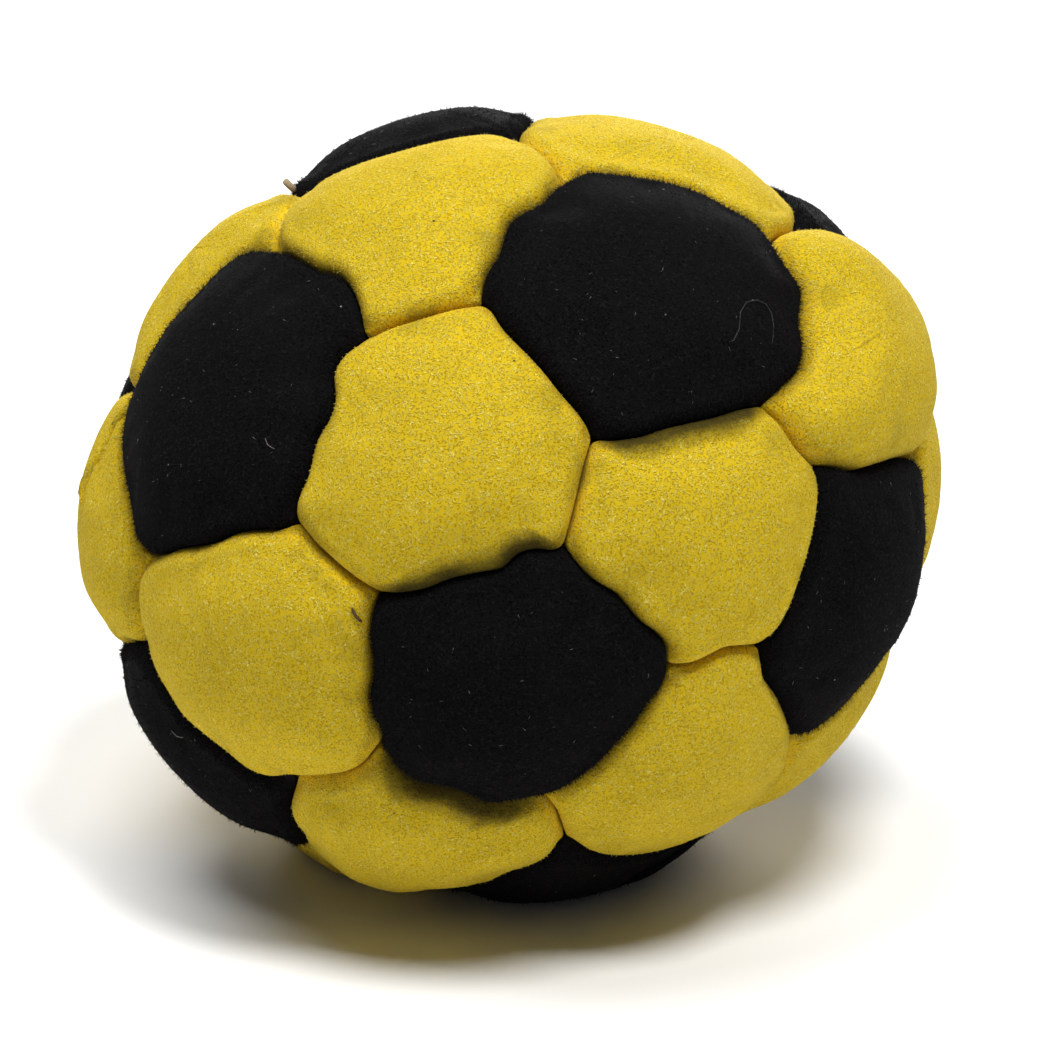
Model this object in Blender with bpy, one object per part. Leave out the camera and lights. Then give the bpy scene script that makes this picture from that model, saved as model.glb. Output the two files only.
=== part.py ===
"""A hand-sewn footbag: 32 suede panels, the thread in their seams and the loose filling.

The panels follow a ball that is cut into 12 pentagons and 20 hexagons. Each piece is drawn flat
on that cut solid, and then laid on the bag's own form: wider than tall, leaning a little to one
side, and pressed flat where it rests. The foot lies at z = 0, and lengths are in metres.
"""

import math

import bmesh
import bpy
from mathutils import Euler, Vector
from mathutils.geometry import intersect_point_line

# The whole bag
BALL_WIDTH = 0.0510         # across the crowns of the panels, at the widest
BALL_HEIGHT = 0.0450        # from the foot to the highest crown
FOOT_WIDTH = 0.0215         # across the patch that the filling presses flat
FOOT_PRESS = 0.0009         # how much of a panel's crown the floor pushes in
LEAN_SHARE = 0.07           # sideways lean for each unit of height

# How the panels lie: the share of an edge that each pentagon cuts away, and the turn of the ball
PENTAGON_SHARE = 0.394
BALL_TURN = (math.radians(-25.8), math.radians(-10.4), math.radians(13.7))

# One panel of suede, with its edges turned in
SUEDE_THICKNESS = 0.0009
FOLD_RADIUS = 0.0007        # inside radius of the turned edge
SEAM_ALLOWANCE = 0.0026     # depth of suede that is turned in and sewn
PANEL_PUFF = 0.0006         # rise of the crown's middle over its rim
SEAM_GAP = 0.0004           # between the turned-in edges of two neighbours

# Inside the bag
THREAD_WIDTH = 0.0005
CLEARANCE = 0.0003          # between pieces that touch
FILLING_CHAMFER = 0.0004    # on the filling's edges, under the turned edges of the panels

# Fineness of the meshes
SEAM_CUTS = 1               # extra points along each seam
FOLD_STEPS = 2              # flats round the turned edge
CROWN_RINGS = 2             # rings of faces between a panel's rim and its middle
FILLING_RINGS = 1
SMOOTH_ANGLE = math.radians(50)

# Depths under the crowns, worked out from the sizes above
BALL_RADIUS = BALL_WIDTH / 2
EDGE_RADIUS = SUEDE_THICKNESS + FOLD_RADIUS
SEAM_DEPTH = PANEL_PUFF + EDGE_RADIUS
HEM_DEPTH = SEAM_DEPTH + SEAM_ALLOWANCE
THREAD_DEPTH = HEM_DEPTH + CLEARANCE
CORE_DEPTH = THREAD_DEPTH + THREAD_WIDTH + CLEARANCE
LINING_DEPTH = SUEDE_THICKNESS + CLEARANCE

# Half height of the slumped bag, and the height of its middle over the flat foot
FOOT_SHARE = math.sqrt(1 - (FOOT_WIDTH / BALL_WIDTH) ** 2)
HALF_HEIGHT = BALL_HEIGHT / (1 + FOOT_SHARE)
MIDDLE_HEIGHT = HALF_HEIGHT * FOOT_SHARE


def clear_scene():
    for item in list(bpy.data.objects):
        bpy.data.objects.remove(item, do_unlink=True)


def finish(name, color, roughness):
    material = bpy.data.materials.new(name)
    material.use_nodes = True
    shader = material.node_tree.nodes["Principled BSDF"]
    shader.inputs["Base Color"].default_value = (*color, 1.0)
    shader.inputs["Roughness"].default_value = roughness
    shader.inputs["Metallic"].default_value = 0.0
    material.diffuse_color = (*color, 1.0)
    return material


def cut_ball():
    """The flat-faced solid of 12 pentagons and 20 hexagons, whose hexagons touch the ball."""
    solid = bmesh.new()
    bmesh.ops.create_icosphere(solid, subdivisions=1, radius=BALL_RADIUS)
    touch = min(face.calc_center_median().length for face in solid.faces)
    bmesh.ops.bevel(
        solid, geom=solid.verts[:], offset=100 * PENTAGON_SHARE, offset_type='PERCENT',
        affect='VERTICES', segments=1, profile=0.5, material=-1,
    )
    bmesh.ops.scale(solid, vec=Vector((1, 1, 1)) * (BALL_RADIUS / touch), verts=solid.verts[:])
    bmesh.ops.rotate(solid, cent=Vector(), matrix=Euler(BALL_TURN).to_matrix(), verts=solid.verts[:])
    bmesh.ops.recalc_face_normals(solid, faces=solid.faces[:])
    return solid


def face_planes(solid):
    return [(face.normal.copy(), face.normal.dot(face.verts[0].co)) for face in solid.faces]


def sink(mesh, verts, depth, from_depth=0.0):
    """Move points towards the ball's middle, or away from it, from one depth to another."""
    ratio = (BALL_RADIUS - depth) / (BALL_RADIUS - from_depth)
    bmesh.ops.scale(mesh, vec=Vector((ratio, ratio, ratio)), verts=verts)


def inset(mesh, faces, width):
    return bmesh.ops.inset_individual(mesh, faces=faces, thickness=width, use_even_offset=True)["faces"]


def corners_of(faces):
    return list({vert for face in faces for vert in face.verts})


def half_width_of(face):
    middle = face.calc_center_median()
    feet = [intersect_point_line(middle, *(vert.co for vert in edge.verts))[0] for edge in face.edges]
    return min((foot - middle).length for foot in feet)


def crown(mesh, face, rim_depth, rings):
    """Inset a face in rings that rise to a low dome, and close it at the middle."""
    ring_width = half_width_of(face) / rings
    depth = rim_depth
    for ring in range(1, rings + 1):
        next_depth = rim_depth - PANEL_PUFF * (1 - (1 - ring / rings) ** 2)
        if ring < rings:
            inset(mesh, [face], ring_width)
            raised = face.verts[:]
        else:
            raised = bmesh.ops.poke(mesh, faces=[face], center_mode='MEAN')["verts"]
        sink(mesh, raised, next_depth, depth)
        depth = next_depth


def point_outwards(mesh):
    """Turn a sheet's faces away from the ball's middle."""
    bmesh.ops.recalc_face_normals(mesh, faces=mesh.faces[:])
    outermost = max(mesh.faces, key=lambda face: face.calc_center_median().length)
    if outermost.normal.dot(outermost.calc_center_median()) < 0:
        bmesh.ops.reverse_faces(mesh, faces=mesh.faces[:])


def panel_mesh(corners):
    """The outer side of one panel: a domed face, a turned edge, and the hem that goes inwards."""
    mesh = bmesh.new()
    face = mesh.faces.new([mesh.verts.new(corner) for corner in corners])
    sink(mesh, mesh.verts[:], SEAM_DEPTH)
    bmesh.ops.bisect_edges(mesh, edges=mesh.edges[:], cuts=SEAM_CUTS)
    bmesh.ops.delete(mesh, geom=inset(mesh, [face], SEAM_GAP / 2), context='FACES')
    hem = bmesh.ops.extrude_edge_only(mesh, edges=face.edges[:])["geom"]
    hem_verts = [item for item in hem if isinstance(item, bmesh.types.BMVert)]
    sink(mesh, hem_verts, HEM_DEPTH, SEAM_DEPTH)
    depth = SEAM_DEPTH
    for step in range(FOLD_STEPS):
        low = math.pi / 2 * step / FOLD_STEPS
        high = math.pi / 2 * (step + 1) / FOLD_STEPS
        inset(mesh, [face], EDGE_RADIUS * (math.cos(low) - math.cos(high)))
        next_depth = SEAM_DEPTH - EDGE_RADIUS * math.sin(high)
        sink(mesh, face.verts[:], next_depth, depth)
        depth = next_depth
    crown(mesh, face, PANEL_PUFF, CROWN_RINGS)
    point_outwards(mesh)
    return mesh


def filling_mesh(solid):
    """The loose grains as one body: a core inside the thread, swelling into each panel's hollow."""
    mesh = solid.copy()
    sink(mesh, mesh.verts[:], CORE_DEPTH)
    bmesh.ops.bisect_edges(mesh, edges=mesh.edges[:], cuts=SEAM_CUTS)
    faces = mesh.faces[:]
    inset(mesh, faces, SEAM_GAP / 2 + SUEDE_THICKNESS + CLEARANCE)
    swollen = bmesh.ops.extrude_discrete_faces(mesh, faces=faces)["faces"]
    rim_depth = PANEL_PUFF + LINING_DEPTH
    shoulder_depth = rim_depth + FILLING_CHAMFER
    sink(mesh, corners_of(swollen), shoulder_depth, CORE_DEPTH)
    inset(mesh, swollen, FILLING_CHAMFER)
    sink(mesh, corners_of(swollen), rim_depth, shoulder_depth)
    for face in swollen:
        crown(mesh, face, rim_depth, FILLING_RINGS)
    bmesh.ops.recalc_face_normals(mesh, faces=mesh.faces[:])
    return mesh


def thread_mesh(solid):
    """The outer side of the thread: a narrow net along the seams, under the hems."""
    mesh = solid.copy()
    sink(mesh, mesh.verts[:], THREAD_DEPTH)
    bmesh.ops.bisect_edges(mesh, edges=mesh.edges[:], cuts=SEAM_CUTS)
    panels = mesh.faces[:]
    inset(mesh, panels, THREAD_WIDTH / 2)
    bmesh.ops.delete(mesh, geom=panels, context='FACES')
    return mesh


def settle(place):
    """Lift the underside so that the bag stands on its flat foot, and less so further up."""
    out_share = math.hypot(place.x - LEAN_SHARE * place.z, place.y) / BALL_RADIUS
    if place.z >= 0 or out_share >= 1:
        return place
    lift = max(0.0, HALF_HEIGHT * math.sqrt(1 - out_share ** 2) - MIDDLE_HEIGHT - FOOT_PRESS)
    return place + Vector((0, 0, lift * min(1.0, -place.z / MIDDLE_HEIGHT)))


def lay_on_bag(mesh, planes, floor=0.0):
    """Move the points of a flat piece to their places on the slumped bag, over the floor."""
    for vert in mesh.verts:
        layer_share = max(normal.dot(vert.co) / distance for normal, distance in planes)
        heading = vert.co.normalized()
        skin = Vector((heading.x * BALL_RADIUS, heading.y * BALL_RADIUS, heading.z * HALF_HEIGHT))
        skin.x += LEAN_SHARE * skin.z
        place = settle(skin - skin.normalized() * (1 - layer_share) * BALL_RADIUS)
        vert.co = (place.x, place.y, max(floor, place.z + MIDDLE_HEIGHT))


def middle_of(points):
    lows = [min(point[axis] for point in points) for axis in range(3)]
    highs = [max(point[axis] for point in points) for axis in range(3)]
    return (Vector(lows) + Vector(highs)) / 2


def add_piece(name, mesh, material, origin, holder):
    """Make an object with its origin at the given point of its mesh."""
    bmesh.ops.translate(mesh, vec=-origin, verts=mesh.verts[:])
    data = bpy.data.meshes.new(name)
    mesh.to_mesh(data)
    mesh.free()
    data.shade_smooth()
    data.set_sharp_from_angle(angle=SMOOTH_ANGLE)
    data.materials.append(material)
    piece = bpy.data.objects.new(name, data)
    piece.location = origin
    piece.parent = holder
    bpy.context.scene.collection.objects.link(piece)
    return piece


def thicken(piece, thickness):
    """Make a sheet a solid, inwards from its outer side."""
    solidify = piece.modifiers.new("thickness", 'SOLIDIFY')
    solidify.thickness = thickness
    solidify.offset = -1
    solidify.use_even_offset = True


def sewn_panels(solid, planes):
    """The panels on the bag, as (corner count, mesh, middle of its outer side), from the top down."""
    panels = []
    for face in solid.faces:
        mesh = panel_mesh([vert.co.copy() for vert in face.verts])
        lay_on_bag(mesh, planes)
        panels.append((len(face.verts), mesh, middle_of([vert.co for vert in mesh.verts])))
    return sorted(panels, key=lambda panel: -panel[2].z)


def make_footbag():
    clear_scene()
    holder = bpy.data.objects.new("footbag", None)
    bpy.context.scene.collection.objects.link(holder)
    solid = cut_ball()
    planes = face_planes(solid)

    panels = sewn_panels(solid, planes)
    bag_middle = middle_of([vert.co for _, mesh, _ in panels for vert in mesh.verts])
    to_origin = Vector((-bag_middle.x, -bag_middle.y, 0))

    kinds = {
        5: ("black_panel", finish("black_suede", (0.011, 0.010, 0.011), 0.95)),
        6: ("yellow_panel", finish("yellow_suede", (0.640, 0.450, 0.030), 0.92)),
    }
    made = {5: 0, 6: 0}
    for corner_count, mesh, middle in panels:
        kind, material = kinds[corner_count]
        made[corner_count] += 1
        bmesh.ops.translate(mesh, vec=to_origin, verts=mesh.verts[:])
        panel = add_piece(f"{kind}_{made[corner_count]:02d}", mesh, material, middle + to_origin, holder)
        thicken(panel, SUEDE_THICKNESS)

    thread = thread_mesh(solid)
    lay_on_bag(thread, planes)
    bmesh.ops.translate(thread, vec=to_origin, verts=thread.verts[:])
    waxed = finish("waxed_thread", (0.450, 0.330, 0.190), 0.60)
    bag_centre = to_origin + Vector((0, 0, MIDDLE_HEIGHT))
    thicken(add_piece("seam_thread", thread, waxed, bag_centre, holder), THREAD_WIDTH)

    filling = filling_mesh(solid)
    lay_on_bag(filling, planes, floor=LINING_DEPTH)
    bmesh.ops.translate(filling, vec=to_origin, verts=filling.verts[:])
    add_piece("filling", filling, finish("sand", (0.420, 0.320, 0.190), 0.90), bag_centre, holder)
    solid.free()


make_footbag()
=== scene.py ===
import math
import random

import bmesh
import bpy
import numpy as np
from mathutils import Euler, Matrix, Vector
from mathutils.bvhtree import BVHTree
from mathutils.kdtree import KDTree


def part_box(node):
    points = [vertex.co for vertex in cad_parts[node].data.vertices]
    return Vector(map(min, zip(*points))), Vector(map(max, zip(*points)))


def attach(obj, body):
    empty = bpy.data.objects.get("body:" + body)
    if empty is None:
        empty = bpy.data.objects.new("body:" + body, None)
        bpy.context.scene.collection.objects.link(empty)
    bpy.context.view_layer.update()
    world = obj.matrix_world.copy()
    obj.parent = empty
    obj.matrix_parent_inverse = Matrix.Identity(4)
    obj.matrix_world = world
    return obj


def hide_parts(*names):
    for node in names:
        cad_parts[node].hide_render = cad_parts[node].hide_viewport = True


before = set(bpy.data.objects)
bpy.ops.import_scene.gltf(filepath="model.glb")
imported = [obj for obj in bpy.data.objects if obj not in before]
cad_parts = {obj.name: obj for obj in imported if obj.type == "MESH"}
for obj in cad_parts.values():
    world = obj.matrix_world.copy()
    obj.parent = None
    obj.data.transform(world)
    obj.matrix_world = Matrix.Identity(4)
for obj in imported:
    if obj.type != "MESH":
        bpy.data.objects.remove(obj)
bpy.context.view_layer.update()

# The footbag's own form, as in the CAD source. Lengths are in metres.
bag = {
    "width": 0.0510,            # across the crowns of the panels, at the widest
    "height": 0.0450,
    "footWidth": 0.0215,        # the patch that the filling presses flat
    "footPress": 0.0009,
    "leanShare": 0.07,
    "pentagonShare": 0.394,     # of each icosahedron edge that a pentagon cuts away
    "turnDegrees": (-25.8, -10.4, 13.7),
    "seed": 32,
}
radius = bag["width"] / 2
footShare = math.sqrt(1 - (bag["footWidth"] / bag["width"]) ** 2)
halfHeight = bag["height"] / (1 + footShare)
middleHeight = halfHeight * footShare

# One panel of suede
panel = {
    "edgeRadius": 0.0015,       # of the turned edge, outside
    "wallDegrees": 68,          # how far the edge has turned where it meets its neighbour
    "puff": 0.00085,            # rise of the crown's middle over its rim
    "shoulder": 2.6,            # how early the crown drops towards its rim
    "hemDepth": 0.0028,
    "thickness": 0.0007,
    "cornerRounding": 0.0005,
    "foldSteps": 6,
    "crownRings": 6,
    "blackSeamCuts": 19,        # points along a seam beside a black panel
    "yellowSeamCuts": 10,
    "smoothedBy": 0.00025,      # how much lower the smoothed rims lie than the drawn ones
}
wallAngle = math.radians(panel["wallDegrees"])
foldWidth = panel["edgeRadius"] * math.sin(wallAngle)
seamDepth = panel["puff"] + panel["edgeRadius"] * (1 - math.cos(wallAngle))
seamRadius = radius - seamDepth

# The photograph's camera: pixels are those of its 1048 x 1048 frame
view = {
    "elevationDegrees": 22,
    "distance": 0.6375,
    "lensMm": 368.7,
    "sensorMm": 36.0,
    "imageSide": 1048,
    "ballPixel": (512.5, 501.3),
    "clips": (0.01, 10),        # nearest and furthest that it sees
}
elevation = math.radians(view["elevationDegrees"])
viewRight = Vector((1, 0, 0))
viewUp = Vector((0, math.sin(elevation), math.cos(elevation)))
viewForward = Vector((0, math.cos(elevation), -math.sin(elevation)))
focalPixels = view["lensMm"] / view["sensorMm"] * view["imageSide"]
pixelsPerMetre = focalPixels / view["distance"]
halfSide = view["imageSide"] / 2
ballMiddle = Vector((0, 0, middleHeight))
cameraPlace = (
    ballMiddle - viewForward * view["distance"]
    + viewRight * ((halfSide - view["ballPixel"][0]) / pixelsPerMetre)
    - viewUp * ((halfSide - view["ballPixel"][1]) / pixelsPerMetre)
)

# Where three panels meet, in the photograph's pixels, round each black panel that shows
cornerPixels = {
    "upperBlack": [(482, 304), (592, 440), (762, 405), (773, 239), (564, 178)],
    "leftBlack": [(366, 338), (298, 522), (145, 557), (131, 380), (271, 245)],
    "middleBlack": [(564, 546), (380, 592), (379, 746), (543, 796), (668, 665)],
    "rightBlack": [(816, 465), (923, 455), (760, 646), (793, 742)],
    "topBlack": [(300, 190), (518, 136)],
    "farBlack": [(805, 222)],
    "lowLeftBlack": [(145, 641), (294, 779), (318, 854)],
    "lowestBlack": [(566, 841), (730, 838)],
}

# Corners just behind the outline, by the pixel that hides each: the way to the viewer's right, up and back
hiddenCorners = {
    "topBlackRight": ((599, 123), (-0.0034, 0.0001, 0.0009)),
    "farBlackLeft": ((698, 151), (0.0030, -0.0016, 0.0008)),
    "farBlackRight": ((904, 361), (-0.0012, 0.0032, 0.0038)),
}

# The way that each seam wanders between its corners, in the photograph's pixels
seamPixels = {
    "upperBlackLowerLeft": [(492, 310), (499, 324), (508, 336), (525, 353), (543, 372), (559, 393),
                            (574, 410), (587, 426)],
    "upperBlackBottom": [(612, 441), (639, 437), (661, 429), (687, 423), (714, 417), (738, 409)],
    "upperBlackRight": [(768, 401), (781, 387), (796, 374), (802, 360), (802, 344), (798, 331),
                        (799, 315), (803, 299), (801, 287), (790, 276), (778, 256)],
    "upperBlackTop": [(754, 223), (727, 208), (701, 193), (669, 183), (636, 178), (602, 174), (583, 172)],
    "upperBlackLeft": [(551, 192), (541, 205), (523, 215), (508, 223), (503, 240), (498, 258), (485, 276),
                       (481, 294)],
    "leftBlackRight": [(347, 354), (336, 370), (334, 382), (338, 400), (332, 421), (319, 439), (314, 461),
                       (310, 479), (300, 497), (295, 511)],
    "leftBlackBottom": [(283, 530), (263, 529), (240, 531), (222, 540), (202, 546), (184, 547), (160, 555)],
    "leftBlackLeft": [(139, 551), (135, 525), (131, 500), (123, 478), (118, 455), (117, 440), (120, 414),
                      (123, 399)],
    "leftBlackUpperLeft": [(138, 366), (146, 351), (155, 333), (163, 318), (173, 308), (184, 299),
                           (193, 289), (204, 278), (214, 265), (226, 256), (242, 249), (257, 245)],
    "leftBlackTop": [(286, 252), (304, 263), (322, 274), (340, 276), (352, 289), (361, 312), (363, 328)],
    "middleBlackTop": [(556, 551), (533, 548), (518, 553), (503, 569), (480, 572), (452, 578), (426, 589),
                       (400, 593)],
    "middleBlackLeft": [(375, 602), (371, 627), (374, 653), (375, 673), (370, 691), (373, 712), (383, 730)],
    "middleBlackBottom": [(388, 754), (411, 777), (444, 782), (467, 790), (488, 802), (503, 799), (523, 797)],
    "middleBlackLowerRight": [(561, 788), (579, 775), (600, 759), (620, 736), (636, 718), (646, 701),
                              (655, 690), (666, 680)],
    "middleBlackUpperRight": [(666, 643), (655, 632), (639, 621), (628, 608), (615, 592), (594, 581),
                              (577, 565)],
    "rightBlackTop": [(835, 467), (853, 472), (870, 467), (891, 460), (910, 456)],
    "rightBlackLeft": [(816, 495), (813, 519), (805, 554), (797, 578), (789, 602), (778, 624), (768, 640)],
    "rightBlackLowerLeft": [(762, 675), (776, 693), (786, 715), (792, 734)],
    "topBlackFront": [(316, 178), (342, 167), (368, 158), (398, 151), (429, 142), (457, 135), (485, 132),
                      (505, 134)],
    "lowLeftBlackTop": [(149, 655), (157, 675), (169, 696), (178, 714), (192, 728), (212, 742), (228, 753),
                        (244, 767), (261, 776), (277, 780)],
    "lowLeftBlackRight": [(293, 788), (288, 804), (292, 815), (300, 820), (304, 832), (311, 843)],
    "lowestBlackTop": [(577, 847), (595, 856), (620, 861), (651, 862), (676, 859), (699, 850), (717, 842)],
    "middleYellowTop": [(454, 311), (424, 320), (393, 329)],
    "middleYellowLowerLeft": [(321, 546), (347, 569), (365, 583)],
    "middleYellowRight": [(572, 515), (578, 490), (584, 464)],
    "rightYellowUpperRight": [(776, 421), (787, 440), (797, 453)],
    "upperYellowRight": [(554, 164), (541, 152), (528, 145)],
    "upperYellowLeft": [(278, 223), (286, 205), (295, 195)],
    "leftYellowLeft": [(140, 574), (139, 593), (141, 616)],
    "leftYellowBottom": [(373, 753), (366, 763), (352, 771), (334, 774), (313, 776)],
    "lowYellowRight": [(556, 810), (561, 825)],
    "rightYellowBottom": [(687, 664), (703, 656), (722, 646), (744, 646)],
    "lowRightYellowRight": [(793, 755), (790, 774), (776, 798), (757, 820)],
}

# Seams where the black panel's nap laps over the yellow one, and where the painted shade that it casts on the
# yellow reaches further
shadedLappedSeams = ("upperBlackBottom", "middleBlackTop", "middleBlackBottom")

# Panels that stand out more than the rest, by a pixel near their middle, and how much more
bulges = {
    "rightYellow": ((860, 340), 0.0011),
    "topYellow": ((650, 150), -0.0006),
    "farBlack": ((825, 210), 0.0006),
    "topBlack": ((410, 140), -0.0010),
    "upperLeftYellow": ((210, 230), 0.0014),
    "farLeftBlack": ((120, 372), 0.0005),
    "leftYellow": ((105, 520), 0.0002),
    "lowYellow": ((430, 830), 0.0005),
    "lowRightYellow": ((820, 770), 0.0004),
}
bulgeWithin = 60                # pixels, from such a pixel to the panel's middle

# How corners and seams are moved to the pixels, and how a seam wanders where no pixels are given
drawing = {
    "pullTurns": 8,
    "pullReach": 0.0022,
    "behindShare": 0.2,         # how far past the ball's middle a hidden corner may be, in radii
    "endShare": 0.03,           # of a seam at each end, which stays as it is
    "besideBlack": {"bends": 5, "swing": 0.00035},
    "amongYellow": {"bends": 2, "swing": 0.0002},
    "bendShift": 0.2,           # by chance along the seam, where bends are 1 apart
    "leastSwing": 0.3,
}


# Lifts the underside so that the bag stands on its flat foot
def settle(place):
    outShare = math.hypot(place.x - bag["leanShare"] * place.z, place.y) / radius
    if place.z >= 0 or outShare >= 1:
        return place
    lift = max(0.0, halfHeight * math.sqrt(1 - outShare ** 2) - middleHeight - bag["footPress"])
    return place + Vector((0, 0, lift * min(1.0, -place.z / middleHeight)))


# From the plain ball, whose depths are radial, to the place on the slumped bag
def layOnBag(point):
    heading = point.normalized()
    skin = Vector((heading.x * radius, heading.y * radius, heading.z * halfHeight))
    skin.x += bag["leanShare"] * skin.z
    return settle(skin - skin.normalized() * (radius - point.length)) + ballMiddle


def pixelOf(place):
    reach = place - cameraPlace
    depth = reach.dot(viewForward)
    across = halfSide + focalPixels * reach.dot(viewRight) / depth
    down = halfSide - focalPixels * reach.dot(viewUp) / depth
    return Vector((across, down))


def facesCamera(point):
    return (layOnBag(point) - cameraPlace).dot(point) < 0


# The pixel where a seam shows. Seen askew, the turned edge of the nearer panel hides its bottom.
def spotOf(point):
    heading = point.normalized()
    askew = (layOnBag(heading * radius) - cameraPlace).angle(-heading)
    turned = min(wallAngle, math.pi / 2 - askew)
    lower = 1 - math.cos(turned) + (math.sin(wallAngle) - math.sin(turned)) / math.tan(askew) / 2
    depth = panel["puff"] + panel["edgeRadius"] * lower + panel["smoothedBy"]
    return pixelOf(layOnBag(heading * (radius - depth)))


# Slides a point of the seam ball until it shows at a pixel, but not far
def pullToPixel(point, pixel):
    start = point.copy()
    for turn in range(drawing["pullTurns"]):
        off = (Vector(pixel) - spotOf(point)) / pixelsPerMetre
        point = (point + viewRight * off.x - viewUp * off.y).normalized() * seamRadius
        moved = point - start
        if moved.length > drawing["pullReach"]:
            point = (start + moved.normalized() * drawing["pullReach"]).normalized() * seamRadius
    return point


# 12 pentagons and 20 hexagons, with their corners on the seam ball
def cutBall():
    ball = bmesh.new()
    bmesh.ops.create_icosphere(ball, subdivisions=1, radius=radius)
    bmesh.ops.bevel(
        ball, geom=ball.verts[:], offset=100 * bag["pentagonShare"], offset_type='PERCENT',
        affect='VERTICES', segments=1, profile=0.5, material=-1,
    )
    turn = Euler([math.radians(angle) for angle in bag["turnDegrees"]]).to_matrix()
    bmesh.ops.rotate(ball, cent=Vector(), matrix=turn, verts=ball.verts[:])
    for vert in ball.verts:
        vert.co = vert.co.normalized() * seamRadius
    bmesh.ops.recalc_face_normals(ball, faces=ball.faces[:])
    return ball


def moveCorners(ball):
    near = [vert for vert in ball.verts if vert.co.dot(viewForward) < drawing["behindShare"] * radius]
    for pixel, way in hiddenCorners.values():
        corner = min(near, key=lambda vert: (spotOf(vert.co) - Vector(pixel)).length)
        corner.co += viewRight * way[0] + viewUp * way[1] + viewForward * way[2]
        corner.co = corner.co.normalized() * seamRadius
    spots = {vert: spotOf(vert.co) for vert in ball.verts if facesCamera(vert.co)}
    for pixel in [pixel for corners in cornerPixels.values() for pixel in corners]:
        nearest = min(spots, key=lambda vert: (spots[vert] - Vector(pixel)).length)
        nearest.co = pullToPixel(nearest.co, pixel)
        del spots[nearest]


def besideBlack(edge):
    return any(len(face.verts) == 5 for face in edge.link_faces)


# How far a row of pixels lies from an edge, on average
def middleMiss(edge, pixels):
    start, end = [spotOf(vert.co) for vert in edge.verts]
    along = end - start
    miss = 0
    for pixel in pixels:
        share = min(1, max(0, (Vector(pixel) - start).dot(along) / along.length_squared))
        miss += (start + along * share - Vector(pixel)).length
    return miss / len(pixels)


# Points of a seam that show at given pixels, each with its share of the way
def tracedPoints(start, end, pixels):
    pixelStart = spotOf(start)
    pixelAlong = spotOf(end) - pixelStart
    least = drawing["endShare"]
    points = []
    for pixel in pixels:
        share = (Vector(pixel) - pixelStart).dot(pixelAlong) / pixelAlong.length_squared
        share = min(1 - least, max(least, share))
        points.append((share, pullToPixel((start + (end - start) * share).normalized() * seamRadius, pixel)))
    return points


# Points of a seam that wanders by chance, in the same way
def wanderingPoints(start, end, wander, chance):
    across = (end - start).cross(start).normalized()
    shift = drawing["bendShift"]
    points = []
    for bend in range(1, wander["bends"] + 1):
        share = (bend + chance.uniform(-shift, shift)) / (wander["bends"] + 1)
        side = wander["swing"] * (chance.uniform(drawing["leastSwing"], 1) * (-1) ** bend)
        points.append((share, (start + (end - start) * share + across * side).normalized() * seamRadius))
    return points


# For each edge of the ball, the points that its seam goes through, and the edges that are lapped over
def seamWays(ball):
    shown = [edge for edge in ball.edges if all(facesCamera(vert.co) for vert in edge.verts)]
    traced = {}
    lapped = set()
    for name, pixels in seamPixels.items():
        nearest = min(shown, key=lambda edge: middleMiss(edge, pixels))
        traced[nearest] = pixels
        if name in shadedLappedSeams:
            lapped.add(nearest)
    chance = random.Random(bag["seed"])
    ways = {}
    for edge in ball.edges:
        start, end = [vert.co for vert in edge.verts]
        if edge in traced:
            points = tracedPoints(start, end, traced[edge])
        else:
            wander = drawing["besideBlack" if besideBlack(edge) else "amongYellow"]
            points = wanderingPoints(start, end, wander, chance)
        inner = [point for share, point in sorted(points, key=lambda item: item[0])]
        ways[edge] = [start.copy(), *inner, end.copy()]
    return ways, lapped


# The point at a share of the length of a way
def placeAlong(way, share):
    lengths = [(after - before).length for before, after in zip(way, way[1:])]
    left = share * sum(lengths)
    for before, after, length in zip(way, way[1:], lengths):
        if left <= length:
            return before.lerp(after, left / length if length else 0)
        left -= length
    return way[-1].copy()


# The ball with all its seams drawn: shared points, so that neighbours meet. Each row has a seam's way and
# how much black it has: 0 between yellow panels, 1 beside a black one, 2 where that one laps over.
def sewnPattern():
    ball = cutBall()
    seamLayer = ball.edges.layers.int.new("seam")
    moveCorners(ball)
    ways, lapped = seamWays(ball)
    rows = []
    for number, edge in enumerate(ball.edges):
        edge[seamLayer] = number
        rows.append((ways[edge], besideBlack(edge) + (edge in lapped)))
    for black, cuts in ((True, panel["blackSeamCuts"]), (False, panel["yellowSeamCuts"])):
        edges = [edge for edge in ball.edges if (rows[edge[seamLayer]][1] > 0) == black]
        bmesh.ops.bisect_edges(ball, edges=edges, cuts=cuts)
    seamVerts = [set() for row in rows]
    for edge in ball.edges:
        seamVerts[edge[seamLayer]].update(edge.verts)
    for (way, black), verts in zip(rows, seamVerts):
        row = sorted(verts, key=lambda vert: (vert.co - way[0]).length)
        for step, vert in enumerate(row):
            vert.co = placeAlong(way, step / (len(row) - 1)).normalized() * seamRadius
    return ball, rows


# The distance of each point from each seam round it, as a table of points by seams
def seamDistances(points, outline, seamIds):
    starts = np.array(outline)
    ends = np.roll(starts, -1, axis=0)
    along = ends - starts
    reach = points[:, None, :] - starts[None]
    share = np.clip((reach * along[None]).sum(2) / (along ** 2).sum(1)[None], 0, 1)
    gaps = np.linalg.norm(reach - share[..., None] * along[None], axis=2)
    ids = np.array(seamIds)
    return np.stack([gaps[:, ids == number].min(1) for number in sorted(set(seamIds))], axis=1)


# A smooth least of the distances, which rounds a panel off at its corners
def roundedDistance(table, rounding):
    least = table.min(1)
    return np.maximum(0, least - rounding * np.log(np.exp(-(table - least[:, None]) / rounding).sum(1)))


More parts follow.
